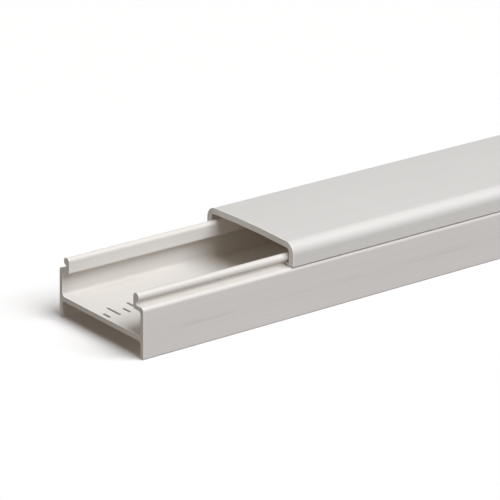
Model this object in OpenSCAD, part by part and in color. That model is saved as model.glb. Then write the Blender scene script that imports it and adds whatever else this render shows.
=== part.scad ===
// Two-piece plastic cable trunking: a base channel and a clip-on cover.
// X runs along the length, Y across the width and Z up from the face that the feet rest on.
// The cover is slid back along the base, so the front end of the base is open.

/* [Trunking] */
// Width over the outer walls
trunk_w = 35; // [25:1:60]
// Height from the feet to the middle of the cover's top
trunk_h = 20; // [17:0.5:40]
// Length of the base and of the cover
trunk_length = 2000; // [250:50:3000]
// Distance that the cover is slid back from the front end of the base
cover_setback = 46; // [0:1:120]

/* [Base] */
// Thickness of the outer walls
wall_t = 1.1; // [0.8:0.1:2]
// Thickness of the raised floor
floor_t = 1.3; // [0.8:0.1:2]
// Clear height between the feet and the underside of the floor
floor_lift = 4.5; // [2:0.1:7]
// Fillet in the corners at the floor and under the ledge
inner_fillet = 1; // [0.2:0.1:1.4]
// Thickness of the ledge that the cover sits on
ledge_t = 1.1; // [0.8:0.1:1.8]
// Rounding of the outer edge of the ledge
shoulder_r = 1; // [0.2:0.1:1.2]
// Rounding of the outer edge of each foot
foot_r = 0.3; // [0.1:0.1:0.6]

/* [Clip edge] */
// Thickness of the neck
neck_t = 1; // [0.8:0.1:1.4]
// Height of the neck and its bead above the ledge
neck_h = 3.15; // [2.8:0.05:4]
// Distance that the bead stands out over the outer face of the neck
bead_overhang = 1.15; // [0.6:0.05:1.4]
// Fillet at the foot of the neck
neck_fillet = 0.2; // [0.05:0.05:0.3]

/* [Cover] */
// Thickness of the cover's top plate
plate_t = 1.6; // [0.8:0.1:2.2]
// Rise of the plate's arch over the whole width
top_rise = 0.5; // [0.2:0.05:1]
// Thickness of the cover's skirts
skirt_t = 1.7; // [1:0.1:2.4]
// Height of the cover from the ledge to the middle of its top
cover_h = 6.6; // [6:0.1:9]
// Rounding of the cover's long upper edges
crown_r = 3; // [0.8:0.1:4]
// Fillet under the plate where it meets the skirts
plate_fillet = 1; // [0.2:0.1:1.6]
// Share of the hook's height that slopes up to its nose
hook_slope = 0.6; // [0.2:0.05:0.8]
// Rounding of the lower outer edge of each skirt
lip_r = 0.1; // [0.05:0.05:0.6]

/* [Clearances] */
// Gap between the cover's skirts and hooks and the necks and beads that they grip
clip_gap = 0.2; // [0.1:0.05:0.3]
// Gap between the cover's skirts and the ledges
seat_gap = 0.1; // [0:0.05:0.25]

/* [Hidden] */
$fn = 48;
arch_fn = 720;

// Heights above the feet
floor_top = floor_lift + floor_t;
ledge_top = trunk_h - cover_h;
ledge_under = ledge_top - ledge_t;
neck_top = ledge_top + neck_h;

// Clip edge, measured inwards from the outer face of the wall; the bead just clears the cover's skirt
neck_inset = skirt_t + clip_gap + bead_overhang;
neck_inner = neck_inset + neck_t;
bead_r = (neck_t + bead_overhang) / 2;
bead_centre = [neck_inner - bead_r, neck_top - bead_r];

// Hook, whose nose reaches under the bead
hook_nose = neck_inset - clip_gap;
hook_under = ledge_top + seat_gap;
hook_top = neck_top - 2 * bead_r - clip_gap;
hook_lead = hook_slope * (hook_top - hook_under);
hook_heel = skirt_t + (hook_nose - skirt_t) / 4;

// Circle of the cover's arched top
arch_r = trunk_w * trunk_w / (8 * top_rise) + top_rise / 2;
arch_z = trunk_h - arch_r;
// Height that each round corner stands over the arch, so that the arcs cross rather than just touch
arc_weld = 0.0005;

// The base and the slid-back cover together lie centred on the origin
front_x = -(trunk_length + cover_setback) / 2;

// Corner piece between two walls that meet at the origin and an arc that touches both
module cove(r) {
    difference() {
        square(r);
        translate([r, r]) circle(r);
    }
}

// The same corner piece for walls that go inwards and down from the origin
module hanging_cove(r) {
    mirror([0, 1]) cove(r);
}

// A profile drawn inwards from the outer face, set at both sides of the trunking
module both_sides() {
    for (side = [0, 1])
        mirror([side, 0])
            translate([-trunk_w / 2, 0])
                children();
}

// A section drawn across the width, extruded along the length from the given place
module along_length(start_x) {
    translate([start_x, 0, 0])
        rotate([90, 0, 90])
            linear_extrude(trunk_length)
                children();
}

// Outer wall with its foot, and the ledge at its top as far as the inner face of the neck
module wall_and_ledge() {
    difference() {
        union() {
            square([wall_t, ledge_top]);
            translate([0, ledge_under]) square([neck_inner, ledge_t]);
            translate([wall_t, ledge_under]) hanging_cove(inner_fillet);
        }
        cove(foot_r);
        translate([0, ledge_top]) hanging_cove(shoulder_r);
        translate([neck_inner, ledge_under]) mirror([1, 0]) cove(ledge_t / 2);
    }
}

// Neck that stands on the ledge, with the bead that the cover grips
module neck_and_bead() {
    neck_root = ledge_top - ledge_t / 2;
    translate([neck_inset, neck_root]) square([neck_t, bead_centre.y - neck_root]);
    translate([neck_inset, ledge_top]) mirror([1, 0]) cove(neck_fillet);
    translate(bead_centre) circle(bead_r);
}

// Floor between the walls, with fillets above and below it
module raised_floor() {
    translate([(wall_t - trunk_w) / 2, floor_lift]) square([trunk_w - wall_t, floor_t]);
    both_sides() {
        translate([wall_t, floor_top]) cove(inner_fillet);
        translate([wall_t, floor_lift]) hanging_cove(inner_fillet);
    }
}

// Straight sides, round corners and an arched top, set in from the cover's outside by the insets
module lid_outline(side_inset, top_inset, corner_r, low_z) {
    half_w = trunk_w / 2 - side_inset;
    top_r = arch_r - top_inset;
    corner_y = half_w - corner_r;
    corner_up = sqrt(pow(top_r - corner_r, 2) - pow(corner_y, 2));
    corner_z = arch_z + corner_up + arc_weld;
    beyond = (top_r + corner_r) / (top_r - corner_r);
    translate([-half_w, low_z]) square([2 * half_w, corner_z - low_z]);
    for (side = [-1, 1])
        translate([side * corner_y, corner_z]) circle(corner_r);
    translate([0, arch_z])
        intersection() {
            circle(top_r, $fn = arch_fn);
            polygon([
                [-corner_y, corner_up - corner_r],
                [corner_y, corner_up - corner_r],
                [corner_y, corner_up],
                [corner_y, corner_up] * beyond,
                [-corner_y, corner_up] * beyond,
                [-corner_y, corner_up]
            ]);
        }
}

// Opening between the hooks, whose undersides slope up to their noses so that they ride over the beads
module mouth_outline() {
    nose_y = trunk_w / 2 - hook_nose;
    heel_y = trunk_w / 2 - hook_heel;
    polygon([
        [-heel_y, ledge_under],
        [heel_y, ledge_under],
        [heel_y, hook_under],
        [nose_y, hook_under + hook_lead],
        [nose_y, neck_top],
        [-nose_y, neck_top],
        [-nose_y, hook_under + hook_lead],
        [-heel_y, hook_under]
    ]);
}

// Channel with a raised floor, walls that end in feet, and a clip edge on each ledge
module base() {
    color("#d8d3d0")
        along_length(front_x) {
            raised_floor();
            both_sides() {
                wall_and_ledge();
                neck_and_bead();
            }
        }
}

// Lid whose skirts stand on the ledges and hook under the beads
module cover() {
    color("#dcdbd9")
        along_length(front_x + cover_setback)
            difference() {
                lid_outline(0, 0, crown_r, hook_under);
                lid_outline(skirt_t, plate_t, plate_fillet, hook_top);
                mouth_outline();
                both_sides()
                    translate([0, hook_under]) cove(lip_r);
            }
}

base();
cover();
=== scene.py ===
"""Looks of the cable trunking: satin light grey plastic with extrusion lines and sawn ends, in soft light."""
import math

import bmesh
import bpy
from mathutils import Matrix, Vector


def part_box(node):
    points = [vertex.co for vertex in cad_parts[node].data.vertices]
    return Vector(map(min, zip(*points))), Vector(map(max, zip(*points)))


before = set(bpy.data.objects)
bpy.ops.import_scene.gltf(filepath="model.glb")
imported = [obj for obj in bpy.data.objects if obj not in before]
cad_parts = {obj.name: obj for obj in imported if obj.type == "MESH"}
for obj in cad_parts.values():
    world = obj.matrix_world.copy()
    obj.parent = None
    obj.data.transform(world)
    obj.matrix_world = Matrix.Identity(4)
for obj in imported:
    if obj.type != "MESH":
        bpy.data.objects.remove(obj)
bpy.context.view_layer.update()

MM = 0.001

# Where the trunking lies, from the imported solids, and the height of the upper face of the base's raised floor
BASE_LOW, BASE_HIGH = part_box("base")
COVER_LOW, COVER_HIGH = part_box("cover")
FLOOR_TOP = 5.8 * MM

# Camera at the photograph's viewing angle, aimed at a point on the plane of the cover's top
VIEW_AZIMUTH = math.radians(-38.4)
VIEW_ELEVATION = math.radians(20.9)
VIEW_ROLL = math.radians(0.9)
VIEW_DISTANCE = 786.6 * MM
VIEW_NEAREST = 0.01
VIEW_FARTHEST = 200.0
LENS_MM = 230.4
SENSOR_MM = 36.0
AIM_FROM_FRONT = 34.5 * MM
AIM_FROM_NEAR_FACE = 2.7 * MM

# Light that comes in, and light shown, for the picture's deep shade in red, green and blue
SHADE_CURVES = (
    ((0.05, 0.068), (0.15, 0.162), (0.55, 0.55)),
    ((0.05, 0.056), (0.15, 0.15), (0.55, 0.55)),
    ((0.05, 0.046), (0.15, 0.136), (0.55, 0.55)),
)

# Studio floor, a little under the feet
STUDIO_RADIUS = 60.0
STUDIO_SIDES = 96
STUDIO_DROP = 0.02 * MM
STUDIO_PAINT = (0.985, 0.985, 0.99)
STUDIO_ROUGHNESS = 0.8

# Far lights: direction each comes from, how bright it makes a white face, softness in degrees, and colour
WHITE = (1.0, 1.0, 1.0)
NEAR_KEY = ((0.2, -0.55, 0.81), 1.035, 50.0, WHITE)
FILLS = {
    "top_fill": ((0.1, 0.45, 0.88), 0.08, 60.0, WHITE),
    "back_fill": ((0.45, 0.88, -0.06), 0.55, 6.0, WHITE),
    "end_fill": ((-0.93, -0.2, 0.33), 0.195, 40.0, (1.0, 0.95, 0.9)),
}
SURROUND_COLOUR = (1.0, 0.94, 0.88)
SURROUND_STRENGTH = 0.14

# In the finishes below, a pattern gives its cells to a metre along the length, across the width and up, then
# its detail and any slant. Levels are where in a pattern a mark begins and is full. A share is how much of
# the colour under it a mark covers.

# Base channel: warm light grey, between a darker and a lighter run of the extrusion
BASE_DARK = (0.683, 0.658, 0.648)
BASE_LIGHT = (0.71, 0.685, 0.675)
# Cover: a little cooler and cleaner than the base
COVER_DARK = (0.656, 0.647, 0.638)
COVER_LIGHT = (0.678, 0.669, 0.66)

# Satin plastic: long lines that the die leaves, a soft mottle and a fine grain
LINE_PATTERN = ((1.2, 1300.0, 1300.0), 3.0)
LINE_LEVELS = (0.3, 0.7)
MOTTLE_PATTERN = ((28.0, 55.0, 55.0), 3.0)
LINES_IN_TONE = 0.6
MOTTLE_IN_TONE = 0.4
SATIN_ROUGHNESS = (0.38, 0.45)
PLASTIC_IOR = 1.43
RELIEF_STRENGTH = 0.6
LINE_HEIGHT = 0.008 * MM
GRAIN_PATTERN = ((2600.0, 2600.0, 2600.0), 2.0)
GRAIN_TO_LINE_HEIGHT = 0.15

# Faint smudges
SMUDGE_PATTERN = ((22.0, 70.0, 70.0), 4.0)
SMUDGE_LEVELS = (0.52, 0.7)
SMUDGE_SHARE = 0.018
SMUDGE_ROUGHNESS = 0.05

# Sparse small dark specks: cells to a metre, radius in cells, and levels of a cell's own random tone
SPECK_COLOUR = (0.36, 0.33, 0.3)
SPECK_CELLS = 190.0
SPECK_RADIUS = (0.045, 0.02)
SPECK_LEVELS = (0.62, 0.66)
SPECK_SHARE = 0.4

# Sawn ends: depth of the cut face, and the saw's arcs about a point below and beside the trunking
SAWN_COLOUR = (0.64, 0.632, 0.626)
SAWN_ROUGHNESS = 0.62
CUT_DEPTH = 0.03 * MM
SAW_LINE_PITCH = 0.35 * MM
SAW_CENTRE_BELOW = 140.0 * MM
SAW_CENTRE_ASIDE = 42.0 * MM
SAW_WANDER = 1.5
SAW_DETAIL = 1.0
SAW_TO_LINE_HEIGHT = 0.8

# Whitened edges beside the cuts
CUT_EDGE_COLOUR = (0.82, 0.81, 0.8)
CUT_EDGE_WIDTH = 1.0 * MM
CUT_EDGE_PATTERN = ((1500.0, 1500.0, 1500.0), 2.0)
CUT_EDGE_SHARE = 0.7

# Inside of the base: painted bounce light, a lighter, creamier tone that stands in for warm light bounced about
# the channel, by depth in from the outer faces
BOUNCE_LIGHT_PAINT = (0.7, 0.686, 0.622)
BOUNCE_LIGHT_DEPTHS = (0.5 * MM, 0.7 * MM)
BOUNCE_LIGHT_SHARE = 0.28

# Beads that the cover has rubbed paler, by depth below their tops
RUBBED_PATTERN = ((18.0, 400.0, 400.0), 3.0)
RUBBED_LEVELS = (0.5, 0.65)
RUBBED_DEPTHS = (0.5 * MM, 0.1 * MM)
RUBBED_SHARE = 0.35

# Dust in the corners of the raised floor, by height over it and by depth in from the outer faces
DUST_COLOUR = (0.5, 0.46, 0.41)
DUST_PATTERN = ((60.0, 300.0, 300.0), 4.0)
DUST_LEVELS = (0.35, 0.7)
DUST_LOWEST = (-0.1 * MM, 0.0)
DUST_HIGHEST = (1.5 * MM, 0.2 * MM)
DUST_DEPTHS = (4.5 * MM, 1.5 * MM)
DUST_SHARE = 0.3

# Hairline scratches on the cover, by depth below its top
SCRATCH_COLOUR = (0.76, 0.755, 0.745)
LONG_SCRATCH_PATTERN = ((9.0, 1700.0, 60.0), 1.0, math.radians(4.0))
LONG_SCRATCH_LEVELS = (0.735, 0.77)
SHORT_SCRATCH_PATTERN = ((14.0, 2100.0, 60.0), 1.0, math.radians(-9.0))
SHORT_SCRATCH_LEVELS = (0.75, 0.78)
SCRATCH_DEPTHS = (1.5 * MM, 0.8 * MM)
SCRATCH_SHARE = 0.5

# Ink row on the raised floor: plain ticks, short and long in turn, in batches along the length
INK_COLOUR = (0.075, 0.072, 0.07)
INK_FROM_NEAR_FACE = 15.5 * MM
INK_LINE = 0.7 * MM
INK_SOFT = 0.06 * MM
INK_PATTERN = ((2200.0, 2200.0, 2200.0), 1.0)
INK_BLEED = 0.2 * MM
INK_DEPTH = 0.1 * MM
INK_DEPTH_SOFT = 0.02 * MM
TICK_PITCH = 3.0 * MM
SHORT_TICK = 3.0 * MM
LONG_TICK = 5.5 * MM
INK_BATCH = 30.0 * MM
INK_BATCH_PITCH = 250.0 * MM
INK_SHARE = 0.9


def photo_camera():
    """Camera that sees the open end from the near side, as the photograph does."""
    back = Vector((
        math.sin(VIEW_AZIMUTH) * math.cos(VIEW_ELEVATION),
        -math.cos(VIEW_AZIMUTH) * math.cos(VIEW_ELEVATION),
        math.sin(VIEW_ELEVATION),
    ))
    aim = Vector((BASE_LOW.x + AIM_FROM_FRONT, BASE_LOW.y + AIM_FROM_NEAR_FACE, COVER_HIGH.z))
    lens = bpy.data.cameras.new("photo_camera")
    lens.sensor_width = SENSOR_MM
    lens.lens = LENS_MM
    lens.clip_start = VIEW_NEAREST
    lens.clip_end = VIEW_FARTHEST
    camera = bpy.data.objects.new("photo_camera", lens)
    turn = (-back).to_track_quat("-Z", "Y").to_matrix() @ Matrix.Rotation(VIEW_ROLL, 3, "Z")
    camera.matrix_world = Matrix.Translation(aim + back * VIEW_DISTANCE) @ turn.to_4x4()
    bpy.context.scene.collection.objects.link(camera)
    bpy.context.scene.camera = camera


def photo_tones():
    """Plain display in which deep shade is a little lighter and warmer, as in the photograph."""
    display = bpy.context.scene.view_settings
    display.view_transform = "Standard"
    display.use_curve_mapping = True
    for curve, points in zip(display.curve_mapping.curves, SHADE_CURVES):
        for light, shown in points:
            curve.points.new(light, shown).handle_type = "VECTOR"
    display.curve_mapping.update()


def feed(tree, socket, value):
    """Sets a socket to a number, a colour or vector, or the output of another node."""
    if isinstance(value, bpy.types.NodeSocket):
        tree.links.new(value, socket)
    elif socket.type == "RGBA":
        socket.default_value = (*value, 1.0)
    else:
        socket.default_value = value


def maths(tree, operation, first, second=0.0):
    """Result of one sum on two values."""
    node = tree.nodes.new("ShaderNodeMath")
    node.operation = operation
    feed(tree, node.inputs[0], first)
    feed(tree, node.inputs[1], second)
    return node.outputs[0]


def times(tree, product, *factors):
    """Product of several values."""
    for factor in factors:
        product = maths(tree, "MULTIPLY", product, factor)
    return product


def step(tree, value, start, end, low=0.0, high=1.0):
    """Smooth change from low to high while a value goes from start to end."""
    node = tree.nodes.new("ShaderNodeMapRange")
    node.interpolation_type = "SMOOTHSTEP"
    for socket, number in zip(node.inputs, (value, start, end, low, high)):
        feed(tree, socket, number)
    return node.outputs[0]


def between(tree, value, start, end, soft):
    """1 while a value lies between two limits, with soft edges."""
    rises = step(tree, value, start - soft, start + soft)
    falls = step(tree, value, end + soft, end - soft)
    return times(tree, rises, falls)


def stain(tree, under, over, amount):
    """Colour that goes from one colour to another by an amount."""
    node = tree.nodes.new("ShaderNodeMix")
    node.data_type = "RGBA"
    feed(tree, node.inputs[0], amount)
    feed(tree, node.inputs[6], under)
    feed(tree, node.inputs[7], over)
    return node.outputs[2]


def cloudy(tree, place, cells, detail, slant=0.0):
    """Soft random pattern from 0 to 1, turned by a slant seen from above."""
    spread = tree.nodes.new("ShaderNodeMapping")
    feed(tree, spread.inputs["Vector"], place)
    feed(tree, spread.inputs["Rotation"], (0.0, 0.0, slant))
    feed(tree, spread.inputs["Scale"], cells)
    noise = tree.nodes.new("ShaderNodeTexNoise")
    feed(tree, noise.inputs["Vector"], spread.outputs["Vector"])
    feed(tree, noise.inputs["Scale"], 1.0)
    feed(tree, noise.inputs["Detail"], detail)
    return noise.outputs[0]


def patches(tree, place, pattern, levels):
    """Places where a random pattern is past its levels."""
    return step(tree, cloudy(tree, place, *pattern), *levels)


def specks(tree, place):
    """Sparse small dark grains in the plastic."""
    cells = tree.nodes.new("ShaderNodeTexVoronoi")
    feed(tree, cells.inputs["Vector"], place)
    feed(tree, cells.inputs["Scale"], SPECK_CELLS)
    dots = step(tree, cells.outputs["Distance"], *SPECK_RADIUS)
    kept = step(tree, cells.outputs["Color"], *SPECK_LEVELS)
    return times(tree, dots, kept)


def scratches(tree, place):
    """Few hairline scratches from handling, in two slanting directions along the length."""
    long_ones = patches(tree, place, LONG_SCRATCH_PATTERN, LONG_SCRATCH_LEVELS)
    short_ones = patches(tree, place, SHORT_SCRATCH_PATTERN, SHORT_SCRATCH_LEVELS)
    return maths(tree, "MAXIMUM", long_ones, short_ones)


def distance_from_ends(tree, along, low, high):
    """How far along the length a point is from the nearer sawn end."""
    from_front = maths(tree, "SUBTRACT", along, low)
    from_rear = maths(tree, "SUBTRACT", high, along)
    return maths(tree, "MINIMUM", from_front, from_rear)


def saw_lines(tree, place):
    """Shallow arcs that the saw leaves on the end faces."""
    shift = tree.nodes.new("ShaderNodeMapping")
    feed(tree, shift.inputs["Vector"], place)
    feed(tree, shift.inputs["Location"], (0.0, SAW_CENTRE_ASIDE, SAW_CENTRE_BELOW))
    rings = tree.nodes.new("ShaderNodeTexWave")
    rings.wave_type = "RINGS"
    rings.rings_direction = "X"
    feed(tree, rings.inputs["Vector"], shift.outputs["Vector"])
    # At a scale of 1 the wave goes through 20 radians in a metre
    feed(tree, rings.inputs["Scale"], 2.0 * math.pi / (20.0 * SAW_LINE_PITCH))
    feed(tree, rings.inputs["Distortion"], SAW_WANDER)
    feed(tree, rings.inputs["Detail"], SAW_DETAIL)
    return rings.outputs["Fac"]


def ink_row(tree, place, axes):
    """Row of printed ticks on the raised floor, short and long in turn, with slightly ragged edges."""
    bleed = times(tree, cloudy(tree, place, *INK_PATTERN), INK_BLEED)
    from_front = maths(tree, "SUBTRACT", axes["X"], BASE_LOW.x)
    in_batch = maths(tree, "MODULO", from_front, INK_BATCH_PITCH)
    in_row = step(tree, in_batch, INK_BATCH + INK_SOFT, INK_BATCH)

    in_tick = maths(tree, "ADD", maths(tree, "MODULO", in_batch, TICK_PITCH), bleed)
    line_start = 0.5 * (TICK_PITCH - INK_LINE)
    stroke = between(tree, in_tick, line_start, line_start + INK_LINE, INK_SOFT)

    in_pair = maths(tree, "MODULO", in_batch, 2.0 * TICK_PITCH)
    length = step(tree, in_pair, TICK_PITCH - INK_SOFT, TICK_PITCH + INK_SOFT, SHORT_TICK, LONG_TICK)
    ragged = maths(tree, "ADD", axes["Y"], bleed)
    across = maths(tree, "SUBTRACT", ragged, BASE_LOW.y + INK_FROM_NEAR_FACE)
    in_length = between(tree, maths(tree, "DIVIDE", across, length), 0.0, 1.0, INK_SOFT / LONG_TICK)

    on_floor = between(tree, axes["Z"], FLOOR_TOP - INK_DEPTH, FLOOR_TOP + INK_DEPTH, INK_DEPTH_SOFT)
    return times(tree, stroke, in_length, in_row, on_floor)


def base_marks(tree, place, axes, colour):
    """Painted bounce light on the inside, rubbed beads, dust in the raised floor's corners, and the ink row."""
    from_outside = maths(tree, "SUBTRACT", BASE_HIGH.y, maths(tree, "ABSOLUTE", axes["Y"]))
    # Painted bounce light: the inside faces are tinted lighter and creamier, standing in for light bounced
    # about the channel
    painted_bounce = step(tree, from_outside, *BOUNCE_LIGHT_DEPTHS)
    colour = stain(tree, colour, BOUNCE_LIGHT_PAINT, times(tree, painted_bounce, BOUNCE_LIGHT_SHARE))

    bead = step(tree, maths(tree, "SUBTRACT", BASE_HIGH.z, axes["Z"]), *RUBBED_DEPTHS)
    rubbed = patches(tree, place, RUBBED_PATTERN, RUBBED_LEVELS)
    colour = stain(tree, colour, CUT_EDGE_COLOUR, times(tree, bead, rubbed, RUBBED_SHARE))

    over_floor = maths(tree, "SUBTRACT", axes["Z"], FLOOR_TOP)
    low_down = times(tree, step(tree, over_floor, *DUST_LOWEST), step(tree, over_floor, *DUST_HIGHEST))
    corner = step(tree, from_outside, *DUST_DEPTHS)
    dust = patches(tree, place, DUST_PATTERN, DUST_LEVELS)
    colour = stain(tree, colour, DUST_COLOUR, times(tree, low_down, corner, dust, DUST_SHARE))

    return stain(tree, colour, INK_COLOUR, times(tree, ink_row(tree, place, axes), INK_SHARE))


def cover_marks(tree, place, axes, colour):
    """Hairline scratches on the outside of the cover."""
    outside = step(tree, maths(tree, "SUBTRACT", COVER_HIGH.z, axes["Z"]), *SCRATCH_DEPTHS)
    scratched = times(tree, scratches(tree, place), outside, SCRATCH_SHARE)
    return stain(tree, colour, SCRATCH_COLOUR, scratched)


def plastic(name, dark, light, low, high, marks):
    """Satin plastic of one piece; marks adds the piece's own marks to its colour."""
    material = bpy.data.materials.new(name)
    material.use_nodes = True
    tree = material.node_tree
    shader = tree.nodes["Principled BSDF"]
    place = tree.nodes.new("ShaderNodeTexCoord").outputs["Object"]
    split = tree.nodes.new("ShaderNodeSeparateXYZ")
    feed(tree, split.inputs[0], place)
    axes = split.outputs

    lines = cloudy(tree, place, *LINE_PATTERN)
    mottle = cloudy(tree, place, *MOTTLE_PATTERN)
    smudge = patches(tree, place, SMUDGE_PATTERN, SMUDGE_LEVELS)
    saw = saw_lines(tree, place)
    from_end = distance_from_ends(tree, axes["X"], low.x, high.x)
    cut_face = step(tree, from_end, CUT_DEPTH, 0.5 * CUT_DEPTH)
    ragged = times(tree, cloudy(tree, place, *CUT_EDGE_PATTERN), CUT_EDGE_WIDTH)
    cut_edge = step(tree, maths(tree, "ADD", from_end, ragged), CUT_EDGE_WIDTH, 0.5 * CUT_EDGE_WIDTH)

    tone = maths(tree, "ADD", times(tree, lines, LINES_IN_TONE), times(tree, mottle, MOTTLE_IN_TONE))
    colour = stain(tree, dark, light, step(tree, tone, *LINE_LEVELS))
    colour = stain(tree, colour, DUST_COLOUR, times(tree, smudge, SMUDGE_SHARE))
    colour = stain(tree, colour, SPECK_COLOUR, times(tree, specks(tree, place), SPECK_SHARE))
    colour = marks(tree, place, axes, colour)
    colour = stain(tree, colour, CUT_EDGE_COLOUR, times(tree, cut_edge, CUT_EDGE_SHARE))
    sawn = stain(tree, SAWN_COLOUR, dark, saw)
    feed(tree, shader.inputs["Base Color"], stain(tree, colour, sawn, cut_face))

    satin = step(tree, lines, *LINE_LEVELS, *SATIN_ROUGHNESS)
    smudged = maths(tree, "ADD", satin, times(tree, smudge, SMUDGE_ROUGHNESS))
    roughness = maths(tree, "MAXIMUM", smudged, times(tree, cut_face, SAWN_ROUGHNESS))
    feed(tree, shader.inputs["Roughness"], roughness)
    feed(tree, shader.inputs["IOR"], PLASTIC_IOR)

    grain = times(tree, cloudy(tree, place, *GRAIN_PATTERN), GRAIN_TO_LINE_HEIGHT)
    saw_height = times(tree, saw, cut_face, SAW_TO_LINE_HEIGHT)
    relief = tree.nodes.new("ShaderNodeBump")
    feed(tree, relief.inputs["Strength"], RELIEF_STRENGTH)
    feed(tree, relief.inputs["Distance"], LINE_HEIGHT)
    feed(tree, relief.inputs["Height"], maths(tree, "ADD", maths(tree, "ADD", lines, grain), saw_height))
    feed(tree, shader.inputs["Normal"], relief.outputs["Normal"])
    return material


def dress(node, material):
    """Gives a CAD node its finish."""
    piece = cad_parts[node]
    piece.data.materials.clear()
    piece.data.materials.append(material)


def studio_floor():
    """Large plain pale floor that the trunking lies on."""
    bm = bmesh.new()
    bmesh.ops.create_circle(bm, cap_ends=True, radius=STUDIO_RADIUS, segments=STUDIO_SIDES)
    bmesh.ops.translate(bm, verts=bm.verts, vec=(0.0, 0.0, -STUDIO_DROP))
    mesh = bpy.data.meshes.new("studio_floor")
    bm.to_mesh(mesh)
    bm.free()
    paint = bpy.data.materials.new("floor_paint")
    paint.use_nodes = True
    shader = paint.node_tree.nodes["Principled BSDF"]
    feed(paint.node_tree, shader.inputs["Base Color"], STUDIO_PAINT)
    feed(paint.node_tree, shader.inputs["Roughness"], STUDIO_ROUGHNESS)
    mesh.materials.append(paint)
    floor = bpy.data.objects.new("studio_floor", mesh)
    bpy.context.scene.collection.objects.link(floor)
    # The floor throws no light up at the trunking, and lets the low back light through
    floor.visible_diffuse = False
    floor.visible_shadow = False
    return floor


def sun(name, towards, brightness, softness_deg, colour):
    """Soft far light that comes from the given direction."""
    lamp = bpy.data.lights.new(name, "SUN")
    lamp.energy = brightness * math.pi
    lamp.angle = math.radians(softness_deg)
    lamp.color = colour
    made = bpy.data.objects.new(name, lamp)
    made.rotation_mode = "QUATERNION"
    made.rotation_quaternion = Vector(towards).to_track_quat("Z", "Y")
    bpy.context.scene.collection.objects.link(made)
    return made


def surround():
    """Dim warm light from all round, with a plain pale backdrop beyond the floor."""
    world = bpy.data.worlds.new("surround")
    world.use_nodes = True
    tree = world.node_tree
    dim = tree.nodes["Background"]
    feed(tree, dim.inputs["Color"], SURROUND_COLOUR)
    feed(tree, dim.inputs["Strength"], SURROUND_STRENGTH)
    pale = tree.nodes.new("ShaderNodeBackground")
    feed(tree, pale.inputs["Color"], WHITE)
    feed(tree, pale.inputs["Strength"], 1.0)
    choice = tree.nodes.new("ShaderNodeMixShader")
    feed(tree, choice.inputs[0], tree.nodes.new("ShaderNodeLightPath").outputs["Is Camera Ray"])
    feed(tree, choice.inputs[1], dim.outputs[0])
    feed(tree, choice.inputs[2], pale.outputs[0])
    feed(tree, tree.nodes["World Output"].inputs["Surface"], choice.outputs[0])
    return world


def keep_off(light, thing):
    """Stops a light from lighting one thing."""
    spared = bpy.data.collections.new(f"not_lit_by_{light.name}")
    spared.objects.link(thing)
    spared.collection_objects[0].light_linking.link_state = "EXCLUDE"
    light.light_linking.receiver_collection = spared


def studio_light(floor):
    """Soft key from the near side, weak fills from above, the back and the open end, and a dim surround."""
    sun("near_key", *NEAR_KEY)
    fills = {name: sun(name, *values) for name, values in FILLS.items()}
    for fill in fills.values():
        fill.data.specular_factor = 0.0
    keep_off(fills["end_fill"], floor)
    bpy.context.scene.world = surround()


photo_camera()
photo_tones()
dress("base", plastic("base_plastic", BASE_DARK, BASE_LIGHT, BASE_LOW, BASE_HIGH, base_marks))
dress("cover", plastic("cover_plastic", COVER_DARK, COVER_LIGHT, COVER_LOW, COVER_HIGH, cover_marks))
studio_light(studio_floor())
